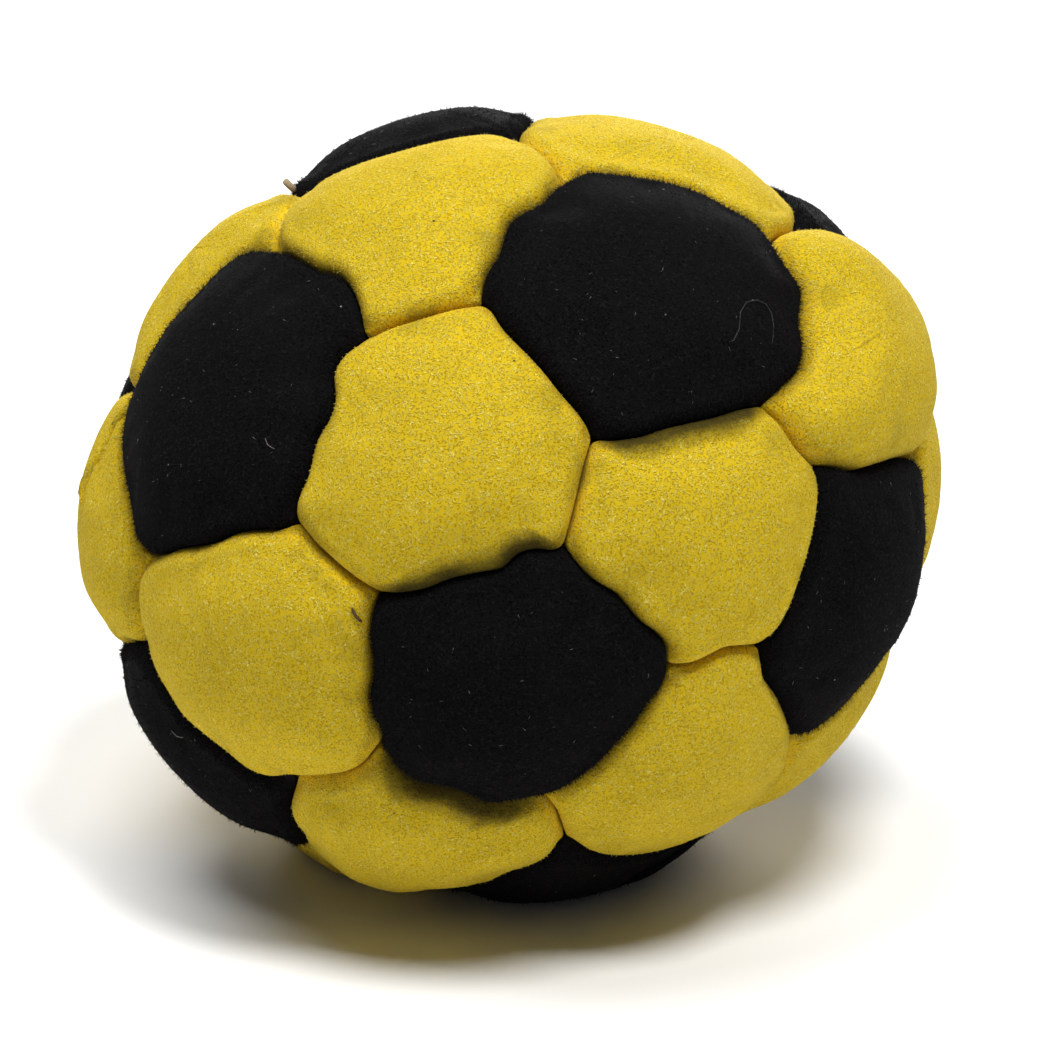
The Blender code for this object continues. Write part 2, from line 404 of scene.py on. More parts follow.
# How much black the nearest seam has, from 0 to 2
def mixedShare(table, mixedSeams, rounding):
    weights = np.exp(-(table - table.min(1)[:, None]) / rounding)
    return (weights * mixedSeams).sum(1) / weights.sum(1)


def panelDepth(distance, reach, bulge):
    inFold = np.clip(foldWidth - distance, 0, foldWidth)
    foldDepth = panel["edgeRadius"] - np.sqrt(panel["edgeRadius"] ** 2 - inFold ** 2)
    dome = np.clip(distance / reach, 0, 1)
    rise = 1 - (1 - dome) ** panel["shoulder"]
    return foldDepth + panel["puff"] * (1 - rise) - bulge * rise


# Shares of the way from the seam to the panel's middle, close together on the fold
def ringShares(reach):
    steps = panel["foldSteps"]
    turns = [wallAngle * (1 - step / steps) for step in range(1, steps + 1)]
    fold = [foldWidth - panel["edgeRadius"] * math.sin(turn) for turn in turns]
    rings = panel["crownRings"]
    crown = [foldWidth + (reach - foldWidth) * ring / rings for ring in range(1, rings)]
    return [width / reach for width in fold + crown]


# A panel's middle, and how near the closest point of its outline is
def middleAndReach(outline):
    middle = sum(outline, Vector()) / len(outline)
    return middle, min((point - middle).length for point in outline)


def onSeamBall(verts):
    return np.array([vert.co.normalized() * seamRadius for vert in verts])


# Rings of a face's own outline, each closer to its middle, and a net of triangles in the last
def ringFace(mesh, face, middle, shares):
    ringed = []
    done = 0.0
    for share in shares:
        bmesh.ops.inset_individual(mesh, faces=[face], thickness=0)
        left = (1 - share) / (1 - done)
        bmesh.ops.scale(mesh, vec=Vector((left,) * 3), space=Matrix.Translation(-middle), verts=face.verts[:])
        done = share
        ringed += face.verts[:]
    bmesh.ops.triangulate(mesh, faces=[face], quad_method='BEAUTY', ngon_method='BEAUTY')
    return ringed


# Normals outwards: the outermost face tells which way that is
def faceOutwards(mesh):
    bmesh.ops.recalc_face_normals(mesh, faces=mesh.faces[:])
    outermost = max(mesh.faces, key=lambda face: face.calc_center_median().length)
    if outermost.normal.dot(outermost.calc_center_median()) < 0:
        bmesh.ops.reverse_faces(mesh, faces=mesh.faces[:])


# The suede swells between its stitches: one cloth skin of the whole ball, held along the seams
swelling = {
    "scale": 20,                # the cloth solver is made for things of about a metre
    "subdivisions": 7,
    "heldWidth": 0.0007,        # of the strip beside each seam that doesn't move
    "typicalReach": 0.0072,
    "spare": 0.04,              # how much longer the suede is than its straight way
    "pressure": 4.0,
    "bending": 1.0,
    "tension": 15.0,
    "frames": 18,
    "most": 0.0004,
    "seamPoints": 80,           # along each seam, to measure the distance from
    "freeWidths": 3,            # held widths from a seam to where the suede swells freely
    "blendGap": 0.00001,        # softens the blend between the skin's nearest points
}
tiniest = 1e-9                  # keeps a division from being by zero


def treeOf(points):
    tree = KDTree(len(points))
    for number, point in enumerate(points):
        tree.insert(point, number)
    tree.balance()
    return tree


# New mesh data from a bmesh that isn't needed any more
def dataOf(name, mesh):
    data = bpy.data.meshes.new(name)
    mesh.to_mesh(data)
    mesh.free()
    return data


def putInScene(name, data):
    thing = bpy.data.objects.new(name, data)
    bpy.context.scene.collection.objects.link(thing)
    return thing


# Runs the cloth and gives a function: how far the suede moves at a heading
def swellSkin(rows):
    shares = [step / swelling["seamPoints"] for step in range(swelling["seamPoints"])]
    stitches = [placeAlong(way, share).normalized() * seamRadius for way, black in rows for share in shares]
    seamTree = treeOf(stitches)
    mesh = bmesh.new()
    bmesh.ops.create_icosphere(mesh, subdivisions=swelling["subdivisions"], radius=seamRadius)
    away = np.array([seamTree.find(vert.co)[2] for vert in mesh.verts])
    for vert, depth in zip(mesh.verts, panelDepth(away, swelling["typicalReach"], 0)):
        vert.co = vert.co.normalized() * (radius - depth) * swelling["scale"]
    data = dataOf("clothSkin", mesh)
    skin = putInScene("clothSkin", data)
    held = skin.vertex_groups.new(name="stitched")
    held.add([number for number, gap in enumerate(away) if gap < swelling["heldWidth"]], 1.0, 'REPLACE')
    cloth = skin.modifiers.new("cloth", 'CLOTH')
    cloth.settings.vertex_group_mass = "stitched"
    cloth.settings.use_pressure = True
    cloth.settings.uniform_pressure_force = swelling["pressure"]
    cloth.settings.shrink_min = -swelling["spare"]
    cloth.settings.tension_stiffness = swelling["tension"]
    cloth.settings.compression_stiffness = swelling["tension"]
    cloth.settings.bending_stiffness = swelling["bending"]
    cloth.settings.effector_weights.gravity = 0
    cloth.collision_settings.use_collision = False
    for step in range(1, swelling["frames"] + 1):
        bpy.context.scene.frame_set(step)
    shown = skin.evaluated_get(bpy.context.evaluated_depsgraph_get())
    before = np.array([vert.co for vert in data.vertices]) / swelling["scale"]
    after = np.array([vert.co for vert in shown.data.vertices]) / swelling["scale"]
    headings = before / np.linalg.norm(before, axis=1)[:, None]
    moves = after - before
    outwards = (moves * headings).sum(1)
    free = away > swelling["heldWidth"] * swelling["freeWidths"]
    print("  the suede swelled by", round(float(outwards[free].mean()) * 1000, 3), "mm on average, and by",
          round(float(outwards[free].std()) * 1000, 3), "mm more or less than that")
    moves -= headings * outwards[free].mean()
    size = np.linalg.norm(moves, axis=1)
    moves *= np.minimum(1, swelling["most"] / np.maximum(size, tiniest))[:, None]
    bpy.data.objects.remove(skin)
    bpy.context.scene.frame_set(1)
    tree = treeOf([Vector(heading) for heading in headings])

    def moveAt(heading):
        near = tree.find_n(heading, 3)
        weights = [1 / (gap + swelling["blendGap"]) for place, number, gap in near]
        found = Vector()
        for (place, number, gap), weight in zip(near, weights):
            found += Vector(moves[number]) * weight
        return found / sum(weights)
    return moveAt


# One panel on the ball: hem, turned edge and crown, from rings of the same outline
def panelShell(outline, seamIds, mixedSeams, bulge, moveAt):
    mesh = bmesh.new()
    nearness = mesh.verts.layers.float.new("seamDistance")
    mixing = mesh.verts.layers.float.new("mixedSeam")
    rim = [mesh.verts.new(point) for point in outline]
    face = mesh.faces.new(rim)
    middle, reach = middleAndReach(outline)
    hem = bmesh.ops.extrude_edge_only(mesh, edges=face.edges[:])["geom"]
    hemVerts = [item for item in hem if isinstance(item, bmesh.types.BMVert)]
    ringed = ringFace(mesh, face, middle, ringShares(reach))
    every = ringed + rim + hemVerts
    table = seamDistances(onSeamBall(every), outline, seamIds)
    distance = roundedDistance(table, panel["cornerRounding"])
    mixed = mixedShare(table, mixedSeams, panel["cornerRounding"])
    for vert, away, share in zip(every, distance, mixed):
        vert[nearness] = away
        vert[mixing] = share
    depths = panelDepth(distance, reach, bulge)
    for vert, away, depth in zip(ringed, distance, depths):
        heading = vert.co.normalized()
        loose = min(1, away / foldWidth)
        vert.co = heading * (radius - depth) + moveAt(heading) * loose * loose
    for vert in hemVerts:
        vert.co = vert.co.normalized() * (seamRadius - panel["hemDepth"])
    faceOutwards(mesh)
    return mesh


def bulgeOf(middle):
    if not facesCamera(middle):
        return 0
    spot = pixelOf(layOnBag(middle))
    return sum(extra for pixel, extra in bulges.values() if (spot - Vector(pixel)).length < bulgeWithin)


# Lays a mesh of the plain ball on the slumped bag, no lower than a height over the floor
def layMesh(mesh, lowest):
    for vert in mesh.verts:
        place = layOnBag(vert.co)
        vert.co = (place.x, place.y, max(lowest, place.z))


def outlineOf(mesh, face):
    seamLayer = mesh.edges.layers.int["seam"]
    return [loop.vert.co.copy() for loop in face.loops], [loop.edge[seamLayer] for loop in face.loops]


def makePanels(ball, rows):
    moveAt = swellSkin(rows)
    panels = []
    for face in ball.faces:
        outline, seamIds = outlineOf(ball, face)
        numbers = sorted(set(seamIds))
        mixedSeams = np.array([float(rows[number][1]) for number in numbers])
        middle = sum(outline, Vector()).normalized() * seamRadius
        mesh = panelShell(outline, seamIds, mixedSeams, bulgeOf(middle), moveAt)
        layMesh(mesh, 0)
        panels.append((len(numbers) == 5, mesh))
    return panels


# The sand: one heap that fills the panels and leaves room for the hems
heap = {
    "underSkin": 0.0011,        # from the panels' outer faces, through the suede
    "grooveDepth": 0.0061,      # at the seams, from the crowns
    "hemRoom": 0.0013,
    "grooveSlope": 0.0005,
    "ringShares": (0.09, 0.17, 0.22, 0.27, 0.45, 0.7),
    "lowest": 0.0008,
    "atSeam": 0.000001,         # a point this close to the seam ball is still at its seam
}


def makeFilling(ball):
    mesh = ball.copy()
    for face in mesh.faces[:]:
        outline, seamIds = outlineOf(mesh, face)
        middle, reach = middleAndReach(outline)
        ringed = ringFace(mesh, face, middle, heap["ringShares"])
        table = seamDistances(onSeamBall(ringed), outline, seamIds)
        distance = roundedDistance(table, panel["cornerRounding"])
        under = panelDepth(distance, reach, 0) + heap["underSkin"]
        out = np.clip((distance - heap["hemRoom"]) / heap["grooveSlope"], 0, 1)
        for vert, depth in zip(ringed, heap["grooveDepth"] + (under - heap["grooveDepth"]) * out):
            vert.co = vert.co.normalized() * (radius - depth)
    for vert in mesh.verts:
        if abs(vert.co.length - seamRadius) < heap["atSeam"]:
            vert.co = vert.co.normalized() * (radius - heap["grooveDepth"])
    faceOutwards(mesh)
    layMesh(mesh, heap["lowest"])
    return mesh


# The waxed thread, which has two plies: here one flat cord, twisted, along every seam under the hems
thread = {
    "depth": 0.0052,
    "plyWidth": 0.00050,
    "plyThickness": 0.00032,
    "twistLength": 0.0016,
    "stepLength": 0.00025,
    "lookAround": 0.02,         # share of a seam, before and after a step, that gives its direction there
    "sides": 8,
}


# Where the thread lies at a share of a seam, turned by its twist so far
def threadFrame(way, share, along):
    place = placeAlong(way, share).normalized()
    nextPlace = placeAlong(way, min(1, share + thread["lookAround"])).normalized()
    lastPlace = placeAlong(way, max(0, share - thread["lookAround"])).normalized()
    ahead = (nextPlace - lastPlace).normalized()
    side = ahead.cross(place).normalized()
    twist = Matrix.Rotation(2 * math.pi * along / thread["twistLength"], 4, 'Z')
    turn = Matrix((side, side.cross(-ahead), ahead)).transposed().to_4x4()
    return Matrix.Translation(place * (radius - thread["depth"])) @ turn @ twist


# A closed cord through a row of frames, whose Z axes point along it
def sweepCord(frames, sides, width, thickness):
    cord = bmesh.new()
    flatten = Matrix.Diagonal((1, thickness / width, 1, 1))
    bmesh.ops.create_circle(cord, cap_ends=True, segments=sides, radius=width / 2, matrix=frames[0] @ flatten)
    ring = cord.edges[:]
    for last, frameNow in zip(frames, frames[1:]):
        grown = bmesh.ops.extrude_edge_only(cord, edges=ring)["geom"]
        verts = [item for item in grown if isinstance(item, bmesh.types.BMVert)]
        ring = [item for item in grown if isinstance(item, bmesh.types.BMEdge) and item.is_boundary]
        bmesh.ops.transform(cord, matrix=frameNow @ last.inverted(), verts=verts)
    bmesh.ops.holes_fill(cord, edges=ring)
    bmesh.ops.recalc_face_normals(cord, faces=cord.faces[:])
    return cord


def joinInto(mesh, extra):
    data = dataOf("extra", extra)
    mesh.from_mesh(data)
    bpy.data.meshes.remove(data)


def makeThread(rows):
    net = bmesh.new()
    for way, black in rows:
        length = sum((after - before).length for before, after in zip(way, way[1:]))
        steps = round(length / thread["stepLength"])
        frames = [threadFrame(way, step / steps, length * step / steps) for step in range(steps + 1)]
        joinInto(net, sweepCord(frames, thread["sides"], thread["plyWidth"], thread["plyThickness"]))
    layMesh(net, heap["lowest"])
    return net


# Loose fibres on the suede. Each row: the strip that they grow on, as distances from the seam, how many
# there are on each mm2, how long they are, and how far they stand up and lean towards the seam.
fuzz = {
    "width": 0.000045,          # at the root
    "rows": {
        "black": ((0.0001, 0.0009, 44, 0.00030, 0.8, 0.4), (0.0009, 1, 7, 0.00020, 0.8, 0)),
        "yellow": ((0.0001, 0.0010, 12, 0.00011, 0.8, 0.3), (0.0010, 1, 2, 0.00010, 0.8, 0)),
        "lint": ((0.0008, 1, 0.16, 0.00022, 0.05, 0),),
    },
    "lappedWidth": 0.0028,      # beside a lapped seam, where no yellow fibres stand up
    "spread": 0.7,              # how far chance turns a fibre
    "leastRise": 0.05,          # of a fibre's direction off the suede
    "mostRise": 2,              # times how far its row stands up
    "lengths": (0.4, 1.5),      # times the row's length
}
squareMillimetres = 1e6         # in a square metre


# One pointed fibre along Z, one unit long and wide: its points and its faces
def fibreTemplate():
    cone = bmesh.new()
    onRoot = Matrix.Translation((0, 0, 0.5))
    bmesh.ops.create_cone(cone, cap_ends=True, segments=3, radius1=0.5, radius2=0, depth=1, matrix=onRoot)
    cone.verts.index_update()
    points = np.array([vert.co for vert in cone.verts])
    faces = [[vert.index for vert in face.verts] for face in cone.faces]
    cone.free()
    return points, faces


# The outer faces of a finished panel: middles, normals, areas, distances from the seam and its amounts of black
def outerFaces(piece):
    shown = piece.evaluated_get(bpy.context.evaluated_depsgraph_get())
    data = shown.to_mesh()
    count = len(data.polygons)
    middles, normals, areas = np.zeros(count * 3), np.zeros(count * 3), np.zeros(count)
    data.polygons.foreach_get("center", middles)
    data.polygons.foreach_get("normal", normals)
    data.polygons.foreach_get("area", areas)
    firsts = [face.vertices[0] for face in data.polygons]
    byVert = {}
    for layer in ("seamDistance", "mixedSeam"):
        byVert[layer] = np.zeros(len(data.vertices))
        data.attributes[layer].data.foreach_get("value", byVert[layer])
    nearness, mixing = byVert["seamDistance"][firsts], byVert["mixedSeam"][firsts]
    shown.to_mesh_clear()
    middles, normals = middles.reshape(-1, 3), normals.reshape(-1, 3)
    outer = ((middles - np.array(ballMiddle)) * normals).sum(1) > 0
    return middles[outer], normals[outer], areas[outer], nearness[outer], mixing[outer]


def unitRows(rows):
    return rows / np.linalg.norm(rows, axis=1)[:, None]


# Fibres at chance places on a panel, as a table of fibres by points
def growFibres(piece, kind, points, chance):
    middles, normals, areas, nearness, mixing = outerFaces(piece)
    if kind == "yellow":
        notLapped = mixing < 1.5            # halfway from beside a black panel to lapped over by it
        areas = areas * (notLapped | (nearness > fuzz["lappedWidth"]))
    heart = middles.mean(0)
    grown = []
    for low, high, count, length, stand, lean in fuzz["rows"][kind]:
        share = areas * (nearness > low) * (nearness <= high)
        total = int(share.sum() * squareMillimetres * count)
        picked = chance.choice(len(areas), total, p=share / share.sum())
        roots, ups = middles[picked], normals[picked]
        outwards = roots - heart
        outwards = unitRows(outwards - ups * (outwards * ups).sum(1)[:, None])
        ways = ups * stand + outwards * lean + chance.normal(0, fuzz["spread"], roots.shape)
        rise = (ways * ups).sum(1)[:, None]
        ways = unitRows(ways + ups * (np.clip(rise, fuzz["leastRise"], fuzz["mostRise"] * stand) - rise))
        sides = unitRows(np.cross(ways, chance.normal(0, 1, roots.shape)))
        lengths = length * chance.uniform(*fuzz["lengths"], total)[:, None, None]
        across = points[None, :, :1] * sides[:, None] + points[None, :, 1:2] * np.cross(ways, sides)[:, None]
        grown.append(roots[:, None] + across * fuzz["width"] + points[None, :, 2:] * ways[:, None] * lengths)
    return np.concatenate(grown)


# All the fibres of one kind as one mesh
def fibreMesh(name, pieces, kind):
    points, faces = fibreTemplate()
    chance = np.random.default_rng(bag["seed"])
    grown = np.concatenate([growFibres(piece, kind, points, chance) for piece in pieces])
    grown[..., 2] = np.maximum(grown[..., 2], 0)
    data = bpy.data.meshes.new(name)
    starts = range(0, len(grown) * len(points), len(points))
    every = [[index + start for index in face] for start in starts for face in faces]
    data.from_pydata(grown.reshape(-1, 3).tolist(), [], every)
    return data


# Stray bits that lie on the suede, by the photograph's pixels that they pass
strays = {
    "longHair": {"width": 0.00005, "pixels": [(729, 342), (738, 339), (740, 320), (741, 304), (752, 300),
                                              (762, 300), (770, 308), (773, 318), (774, 331), (772, 344)]},
    "leftCurl": {"width": 0.00005, "pixels": [(265, 438), (267, 443), (268, 446), (275, 449)]},
    "lowCurl": {"width": 0.00006, "pixels": [(171, 730), (175, 735), (179, 738), (184, 737)]},
    "dryStalk": {"width": 0.00020, "pixels": [(352, 608), (354, 614), (358, 619), (362, 622)]},
    "threadEnd": {"width": 0.00048, "pixels": [(296, 191), (291, 187), (287, 183), (284, 180)]},
}
straySides = 6
tipShare = 0.5                  # width of a stray's ends


# The place on the panels that a pixel shows
def placeAtPixel(trees, pixel):
    across, down = [(pixel[axis] - halfSide) / focalPixels for axis in range(2)]
    ray = viewForward + viewRight * across - viewUp * down
    hits = [tree.ray_cast(cameraPlace, ray)[0] for tree in trees]
    return min([hit for hit in hits if hit], key=lambda hit: (hit - cameraPlace).length, default=None)


# A bit follows the suede; where it reaches past the outline, it goes on at the same distance
def strayMesh(trees, pixels, width):
    places = []
    for pixel in pixels:
        place = placeAtPixel(trees, pixel)
        if place is None:
            step = (Vector(pixel) - pixelOf(places[-1])) / pixelsPerMetre
            place = places[-1] + viewRight * step.x - viewUp * step.y
        places.append(place)
    middles = [(before + after) / 2 for before, after in zip(places, places[1:])]
    eased = [places[0]] + middles + [places[-1]]
    lift = (cameraPlace - eased[0]).normalized() * width / 2
    last = len(eased) - 1
    frames = []
    for number, place in enumerate(eased):
        ahead = eased[min(number + 1, last)] - eased[max(number - 1, 0)]
        turn = ahead.to_track_quat('Z', 'Y').to_matrix().to_4x4()
        share = tipShare if number in (0, last) else 1
        frames.append(Matrix.Translation(place + lift) @ turn @ Matrix.Scale(share, 4))
    return sweepCord(frames, straySides, width, width)


def boxMiddle(corners):
    lows, highs = corners
    return (Vector(lows) + Vector(highs)) / 2


def meshBox(mesh):
    return [[pick(vert.co[axis] for vert in mesh.verts) for axis in range(3)] for pick in (min, max)]


# Node helpers. A value for a socket is a number, a colour or another node's output.
def feed(tree, socket, value):
    if isinstance(value, bpy.types.NodeSocket):
        tree.links.new(value, socket)
    elif isinstance(value, tuple) and len(value) == 3 and socket.type == 'RGBA':
        socket.default_value = (*value, 1)
    else:
        socket.default_value = value


def addNode(tree, kind, inputs=None, **settings):
    node = tree.nodes.new(kind)
    for name, value in settings.items():
        setattr(node, name, value)
    for name, value in (inputs or {}).items():
        feed(tree, node.inputs[name], value)
    return node


def mathOf(tree, operation, first, second=0.0):
    return addNode(tree, 'ShaderNodeMath', {0: first, 1: second}, operation=operation).outputs[0]


def timesOf(tree, first, second):
    return mathOf(tree, 'MULTIPLY', first, second)


# A smooth step from low to high, as a mask
def maskOf(tree, value, low, high):
    inputs = {"Value": value, "From Min": low, "From Max": high}
    return addNode(tree, 'ShaderNodeMapRange', inputs, interpolation_type='SMOOTHSTEP').outputs["Result"]


def blendOf(tree, share, first, second):
    return addNode(tree, 'ShaderNodeMix', {0: share, 6: first, 7: second}, data_type='RGBA').outputs[2]


# Lays colours over a base colour, each where its mask is
def layersOf(tree, tone, layers):
    for share, colour in layers:
        tone = blendOf(tree, share, tone, colour)
    return tone


def noiseOf(tree, place, scale, detail, **more):
    inputs = {"Vector": place, "Scale": scale, "Detail": detail, **more}
    return addNode(tree, 'ShaderNodeTexNoise', inputs).outputs


def vectorOf(tree, operation, inputs):
    return addNode(tree, 'ShaderNodeVectorMath', inputs, operation=operation).outputs


def placeOf(tree):
    return addNode(tree, 'ShaderNodeTexCoord').outputs["Object"]


def attributeOf(tree, name):
    return addNode(tree, 'ShaderNodeAttribute', attribute_name=name).outputs["Fac"]


def newGroup(name, inputs, outputs):
    group = bpy.data.node_groups.new(name, 'ShaderNodeTree')
    for socket, value in inputs.items():
        made = group.interface.new_socket(socket, in_out='INPUT', socket_type='NodeSocketFloat')
        made.default_value = value
    for socket in outputs:
        group.interface.new_socket(socket, in_out='OUTPUT', socket_type='NodeSocketFloat')
    return group, group.nodes.new('NodeGroupInput').outputs, group.nodes.new('NodeGroupOutput').inputs


def placeGroup(tree, group, values):
    node = tree.nodes.new('ShaderNodeGroup')
    node.node_tree = group
    for name, value in values.items():
        feed(tree, node.inputs[name], value)
    return node.outputs


# Short fibres that lie over in turning directions, with darker gaps between them. A scale is a share of the
# fibres per metre, and a pair is where a mask starts and where it is full.
napShape = {
    "distortion": 0.4,
    "fibreLine": (0.10, 0.01),  # off the noise's middle value
    "breakScale": 0.83,
    "unbroken": (0.47, 0.57),
    "gapScale": 1.37,
    "gap": (0.53, 0.68),
    "gapDepth": 0.8,            # of a fibre's height
}


def makeNapGroup():
    group, given, put = newGroup(
        "suedeNap", {"Fibres per Metre": 4200, "Swirls per Metre": 420, "Swirl": 0.0011},
        ["Fibre", "Gap", "Height"],
    )
    fibreScale = given["Fibres per Metre"]
    place = placeOf(group)
    swirl = noiseOf(group, place, given["Swirls per Metre"], 1.0)["Color"]
    centred = vectorOf(group, 'SUBTRACT', {0: swirl, 1: (0.5, 0.5, 0.5)})[0]
    moved = vectorOf(group, 'SCALE', {0: centred, "Scale": given["Swirl"]})[0]
    bent = vectorOf(group, 'ADD', {0: place, 1: moved})[0]
    lines = noiseOf(group, bent, fibreScale, 1.0, Distortion=napShape["distortion"])["Fac"]
    offLine = mathOf(group, 'ABSOLUTE', mathOf(group, 'SUBTRACT', lines, 0.5))
    breaks = noiseOf(group, bent, timesOf(group, fibreScale, napShape["breakScale"]), 1.0)["Fac"]
    onLine = maskOf(group, offLine, *napShape["fibreLine"])
    fibre = timesOf(group, onLine, maskOf(group, breaks, *napShape["unbroken"]))
    pits = noiseOf(group, bent, timesOf(group, fibreScale, napShape["gapScale"]), 1.0)["Fac"]
    gap = maskOf(group, pits, *napShape["gap"])
    feed(group, put["Fibre"], fibre)
    feed(group, put["Gap"], gap)
    feed(group, put["Height"], mathOf(group, 'SUBTRACT', fibre, timesOf(group, gap, napShape["gapDepth"])))
    return group


# Dirt in broad patches and along the seams; painted bounce light on the turned edges; and beside black panels,
# rubbed-off dye with painted shade
soilShape = {
    "detail": 3.0,
    "fineScale": 900,
    "fineRoughness": 0.7,
    "fineShare": 0.25,          # that the fine noise adds to the broad one
    "patchy": (0.64, 0.80),
    "raggedBy": 0.0006,
    "edgeCore": 0.4,            # share of the edge's reach up to which it is full
    "lappedShadeReach": 0.0012,      # how much further the dye and the painted shade go where black laps over
    "dyeAndShadeCore": 0.3,
    "dyeAndShadeShare": 0.55,           # beside a black panel that doesn't lap over
}


def makeSoilAndPaintedEdgesGroup():
    group, given, put = newGroup(
        "handledSoil", {"Patches per Metre": 160, "Seam Reach": 0.0026, "Edge Reach": 0.0011},
        ["Soil", "Turned Edge", "Mixed Edge", "Patch"],
    )
    place = placeOf(group)
    away = attributeOf(group, "seamDistance")
    mixed = attributeOf(group, "mixedSeam")
    detail, edgeReach = soilShape["detail"], given["Edge Reach"]
    patch = noiseOf(group, place, given["Patches per Metre"], detail)["Fac"]
    fine = noiseOf(group, place, soilShape["fineScale"], detail, Roughness=soilShape["fineRoughness"])["Fac"]
    uneven = mathOf(group, 'ADD', patch, timesOf(group, fine, soilShape["fineShare"]))
    nearSeam = maskOf(group, away, given["Seam Reach"], 0.0)
    feed(group, put["Soil"], timesOf(group, nearSeam, maskOf(group, uneven, *soilShape["patchy"])))
    ragged = mathOf(group, 'ADD', away, timesOf(group, fine, soilShape["raggedBy"]))
    # Painted bounce light: a mask on the turned edge near every seam
    edge = maskOf(group, ragged, edgeReach, timesOf(group, edgeReach, soilShape["edgeCore"]))
    # Beside a black panel: rubbed-off dye, with painted shade from the black panel that reaches further where
    # it laps over
    lapped = maskOf(group, mixed, 1.0, 2.0)
    dyeAndShadeReach = mathOf(group, 'ADD', edgeReach, timesOf(group, lapped, soilShape["lappedShadeReach"]))
    dyeAndShade = maskOf(group, ragged, dyeAndShadeReach, timesOf(group, dyeAndShadeReach, soilShape["dyeAndShadeCore"]))
    dyeAndShadeShare = mathOf(group, 'MINIMUM', timesOf(group, mixed, soilShape["dyeAndShadeShare"]), 1.0)
    feed(group, put["Turned Edge"], edge)
    feed(group, put["Mixed Edge"], timesOf(group, dyeAndShade, dyeAndShadeShare))
    feed(group, put["Patch"], patch)
    return group


speckCore = 0.6                 # share of a speck's size up to which it is full


# Small scattered specks, of grit on the yellow suede and of lint on the black
def makeSpeckGroup():
    group, given, put = newGroup(
        "scatteredSpecks", {"Cells per Metre": 600, "Share": 0.2, "Size": 0.05}, ["Speck"],
    )
    inputs = {"Vector": placeOf(group), "Scale": given["Cells per Metre"]}
    cells = addNode(group, 'ShaderNodeTexVoronoi', inputs).outputs
    chance = addNode(group, 'ShaderNodeSeparateColor', {0: cells["Color"]}).outputs[0]
    chosen = mathOf(group, 'LESS_THAN', chance, given["Share"])
    inside = maskOf(group, cells["Distance"], given["Size"], timesOf(group, given["Size"], speckCore))
    feed(group, put["Speck"], timesOf(group, inside, chosen))
    return group


def newMaterial(name):
    material = bpy.data.materials.new(name)
    material.use_nodes = True
    tree = material.node_tree
    return material, tree, tree.nodes["Principled BSDF"].inputs


# Colour, roughness and bump of a napped finish, and the values that are the same all over it
def finishShader(tree, shader, tone, fibres, finish):
    bump = addNode(tree, 'ShaderNodeBump', {"Height": fibres["Height"], "Distance": finish["bumpDepth"]})
    gloss = timesOf(tree, fibres["Fibre"], finish["fibreGloss"])
    feed(tree, shader["Base Color"], tone)
    feed(tree, shader["Roughness"], mathOf(tree, 'SUBTRACT', finish["roughness"], gloss))
    feed(tree, shader["Normal"], bump.outputs[0])
    for socket, value in finish["even"].items():
        feed(tree, shader[socket], value)


yellowFinish = {
    "nap": {"Fibres per Metre": 5800, "Swirls per Metre": 500, "Swirl": 0.0005},
    "dirtAndPaintedEdges": {"Patches per Metre": 260, "Seam Reach": 0.0028, "Edge Reach": 0.0010},
    "specks": {"Cells per Metre": 420, "Share": 0.24, "Size": 0.045},
    "base": (0.575, 0.402, 0.011),
    # Paler fibres and darker gaps: partly the nap's own flecks, partly painted light and shade of the fibres'
    # relief
    "fibre": (0.730, 0.595, 0.100),
    "gap": (0.440, 0.282, 0.003),
    "bounceLitEdge": (0.790, 0.490, 0.006),     # painted light on the turned edges: a brighter, deeper orange for yellow light bounced in the folds
    "bounceLitShare": 0.7,
    "dyeAndShadeEdge": (0.022, 0.017, 0.004),      # beside a black panel: dye and black fibres rubbed off, with painted shade from the black panel's bulge
    "dyeAndShadeEdgeShare": 0.95,
    "soil": (0.255, 0.185, 0.010),
    "soilShare": 0.5,
    "patches": (0.40, 0.75),
    "patchShare": 0.12,
    "grit": (0.040, 0.032, 0.010),
    "roughness": 0.97,
    "fibreGloss": 0.15,         # how much smoother a fibre is
    "bumpDepth": 0.00005,
    "even": {
        "Specular IOR Level": 0.08,
        "Sheen Weight": 0.025,
        "Sheen Roughness": 0.4,
        "Sheen Tint": (1.0, 0.92, 0.50),
    },
}


def makeYellowSuede(nap, soil, specks):
    material, tree, shader = newMaterial("yellowSuede")
    finish = yellowFinish
    fibres = placeGroup(tree, nap, finish["nap"])
    dirtAndPaintedEdges = placeGroup(tree, soil, finish["dirtAndPaintedEdges"])
    grit = placeGroup(tree, specks, finish["specks"])
    patches = maskOf(tree, dirtAndPaintedEdges["Patch"], *finish["patches"])
    tone = layersOf(tree, finish["base"], [
        # Painted bounce light on the turned edges
        (timesOf(tree, dirtAndPaintedEdges["Turned Edge"], finish["bounceLitShare"]), finish["bounceLitEdge"]),
        # Nap tones, partly painted relief light and shade of the fibres
        (fibres["Gap"], finish["gap"]),
        (fibres["Fibre"], finish["fibre"]),
        # Rubbed-off dye with painted shade beside the black panels
        (timesOf(tree, dirtAndPaintedEdges["Mixed Edge"], finish["dyeAndShadeEdgeShare"]), finish["dyeAndShadeEdge"]),
        (timesOf(tree, patches, finish["patchShare"]), finish["soil"]),
        (timesOf(tree, dirtAndPaintedEdges["Soil"], finish["soilShare"]), finish["soil"]),
        (grit["Speck"], finish["grit"]),
    ])
    finishShader(tree, shader, tone, fibres, finish)
    return material


